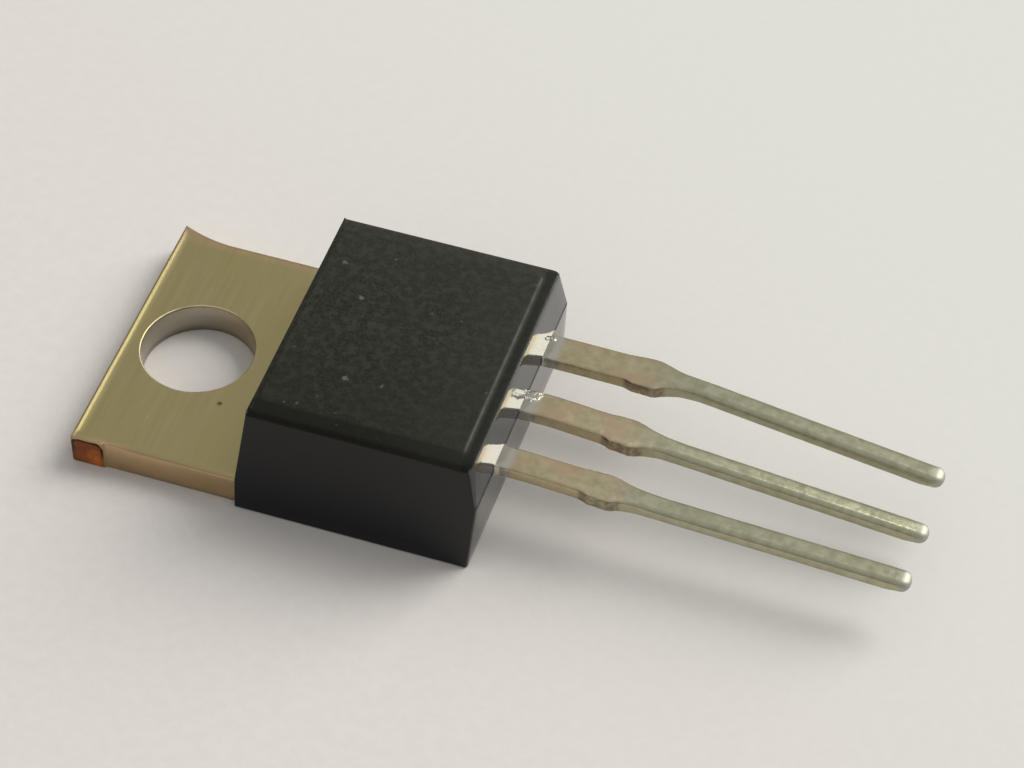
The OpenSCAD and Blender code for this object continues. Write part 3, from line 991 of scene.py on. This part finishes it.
def tab_piece():
    low, high = box_of("heatsink_tab")
    shape, copper_edges, end_points = tab_outline(low[0], high[1])
    bm = bmesh.new()
    verts = [ring(bm, points) for points in edge_rings(shape) + burr_rings(shape, end_points, high[1])]
    for k, (lower, upper) in enumerate(zip(verts, verts[1:])):
        faces = bridge(bm, lower, upper, PLATED)
        if k < 5:
            for face in faces[:copper_edges]:
                face.material_index = COPPER
    bore_verts = [bore_ring(bm, grow, z) for grow, z in BORE_LEVELS]
    for lower, upper in zip(bore_verts, bore_verts[1:]):
        bridge(bm, upper, lower, PLATED)
    fill_between(bm, verts[-1], bore_verts[-1])
    fill_between(bm, verts[0], bore_verts[0])
    add_piece("plated_tab_plate", bm, (M_TAB, M_COPPER), "heatsink_tab")


# ---------------------------------------------------------------- leads

# Distance between stations along a lead
LEAD_STEP = 0.05
# Where the cut tie bar's stubs begin and end
STUB_START_X = 14.40
STUB_END_X = 15.95
# Length over which the tip is drawn in, and its steps
DOME = 0.30
DOME_STEPS = 12


def smoothed(values, width):
    """Running mean with a bell-shaped weight, width in stations."""
    reach = int(3 * width)
    bell = np.exp(-0.5 * (np.arange(-reach, reach + 1) / width) ** 2)
    return np.convolve(np.pad(values, reach, mode="edge"), bell / bell.sum(), mode="valid")


def two_noises(point):
    """Two smooth uneven numbers between -1 and 1 for a point, the same in every run."""
    return noise.noise(point), noise.noise(point + Vector((31.4, 17.7, 5.3)))


def lead_sections(node, seed, tip):
    """Place, middle and half sizes of the lead's cross-section, station by station, read from its solid."""
    tris = triangles(node)
    xs = np.arange(LEAD_START_X, tip - DOME, LEAD_STEP)
    cuts = [cut(tris, 0, x) for x in xs]
    y_near, y_far, z_low, z_high = (np.array(v) for v in zip(*[(a[1], b[1], a[2], b[2]) for a, b in cuts]))
    # the cut tie bar: a crisp ragged end on the near side, a soft shoulder on the far side
    stub = np.clip((xs - STUB_START_X) / 0.30, 0, 1) * np.clip((STUB_END_X - xs) / 0.35, 0, 1)
    torn = np.array([noise.noise(Vector((x * 4.5, seed, 0.0))) for x in xs])
    fringe = np.array([noise.noise(Vector((x * 11.0, seed, 4.0))) for x in xs])
    ragged = torn + 0.6 * fringe
    y_near = smoothed(y_near, 2.2) - stub * (0.035 + 0.022 * ragged)
    y_far = smoothed(y_far, 5.0) + stub * 0.012 * ragged
    z_low = smoothed(z_low, 3.0)
    z_high = smoothed(z_high, 3.0)
    sections = [(x, (n + f) / 2, (l + h) / 2, (f - n) / 2, (h - l) / 2)
                for x, n, f, l, h in zip(xs, y_near, y_far, z_low, z_high)]
    # the tip is drawn in to a blunt dome
    x, cy, cz, hy, hz = sections[-1]
    for s in range(1, DOME_STEPS + 1):
        phi = math.radians(90 * s / DOME_STEPS)
        k = max(0.06, math.cos(phi) ** 0.9)
        sections.append((x + (tip - x) * math.sin(phi), cy, cz, hy * k, hz * k))
    return sections


def lead_corners(x, hy, hz, tip):
    """The cross-section's four rounds: crisp at the root, rounder on the pin and fully round at the tip."""
    pin = clamped((x - 15.8) / 1.4)
    blunt = clamped((x - (tip - 0.75)) / 0.40)
    full = min(hy, hz) * 0.92
    top = min(0.10 + 0.10 * pin, full)
    top = top + (full - top) * blunt
    bottom = min(0.07 + 0.05 * pin, full)
    bottom = bottom + (full - bottom) * blunt
    return ((hy - bottom, -hz + bottom, -90, bottom), (hy - top, hz - top, 0, top),
            (-hy + top, hz - top, 90, top), (-hy + bottom, -hz + bottom, 180, bottom))


def lead_ring(bm, section, seed, tip):
    """One ring round the lead, roughened a little, most at the sheared stubs."""
    x, cy, cz, hy, hz = section
    outline, _ = rounded_loop(lead_corners(x, hy, hz, tip), 5, (2, 4, 2, 4))
    amount = 0.0025 + 0.0025 * clamped(x - 12.2) + 0.008 * math.exp(-((x - 15.1) / 0.7) ** 2)
    points = []
    for y, z in outline:
        coarse = two_noises(Vector((x * 2.3 + seed, y * 2.6, z * 2.6 + seed)))
        fine = two_noises(Vector((x * 6.0 + seed, y * 5.0, z * 5.0 - seed)))
        points.append((x, cy + y + (coarse[0] + 0.5 * fine[0]) * amount,
                       cz + z + (coarse[1] + 0.5 * fine[1]) * amount * 0.7))
    return ring(bm, points)


def lead_piece(name, node, seed):
    tip = box_of(node)[1][0]
    bm = bmesh.new()
    verts = [lead_ring(bm, section, seed, tip) for section in lead_sections(node, seed, tip)]
    for lower, upper in zip(verts, verts[1:]):
        bridge(bm, lower, upper)
    bm.faces.new(verts[-1])
    bm.faces.new(list(reversed(verts[0])))
    add_piece(name, bm, (M_LEAD,), node)


body_piece()
tab_piece()
lead_piece("mt1_tinned_lead", "mt1_lead", 3.1)
lead_piece("mt2_tinned_lead", "heatsink_tab", 7.7)
lead_piece("gate_tinned_lead", "gate_lead", 12.4)


# ---------------------------------------------------------------- CAD nodes, most of them inside the plastic

def dress(material, *names):
    for name in names:
        mesh = nodes[name].data
        mesh.materials.clear()
        mesh.materials.append(material)


solder = simple_metal("die_solder", (0.36, 0.36, 0.35), (0.52, 0.51, 0.49), 5.0, 0.36, 0.5)
dress(solder, "chip_solder", "mt1_chip_solder", "mt1_post_solder", "gate_chip_solder", "gate_post_solder")
copper = simple_metal("clip_copper", (0.60, 0.24, 0.11), (0.80, 0.36, 0.18), 4.0, 0.28, 0.4)
dress(copper, "mt1_clip", "gate_clip")
dress(silicon(), "triac_chip")
dress(M_SIDES, "moulded_body")
dress(M_TAB, "heatsink_tab")
dress(M_LEAD, "mt1_lead", "gate_lead")

scene.view_settings.view_transform = "Standard"
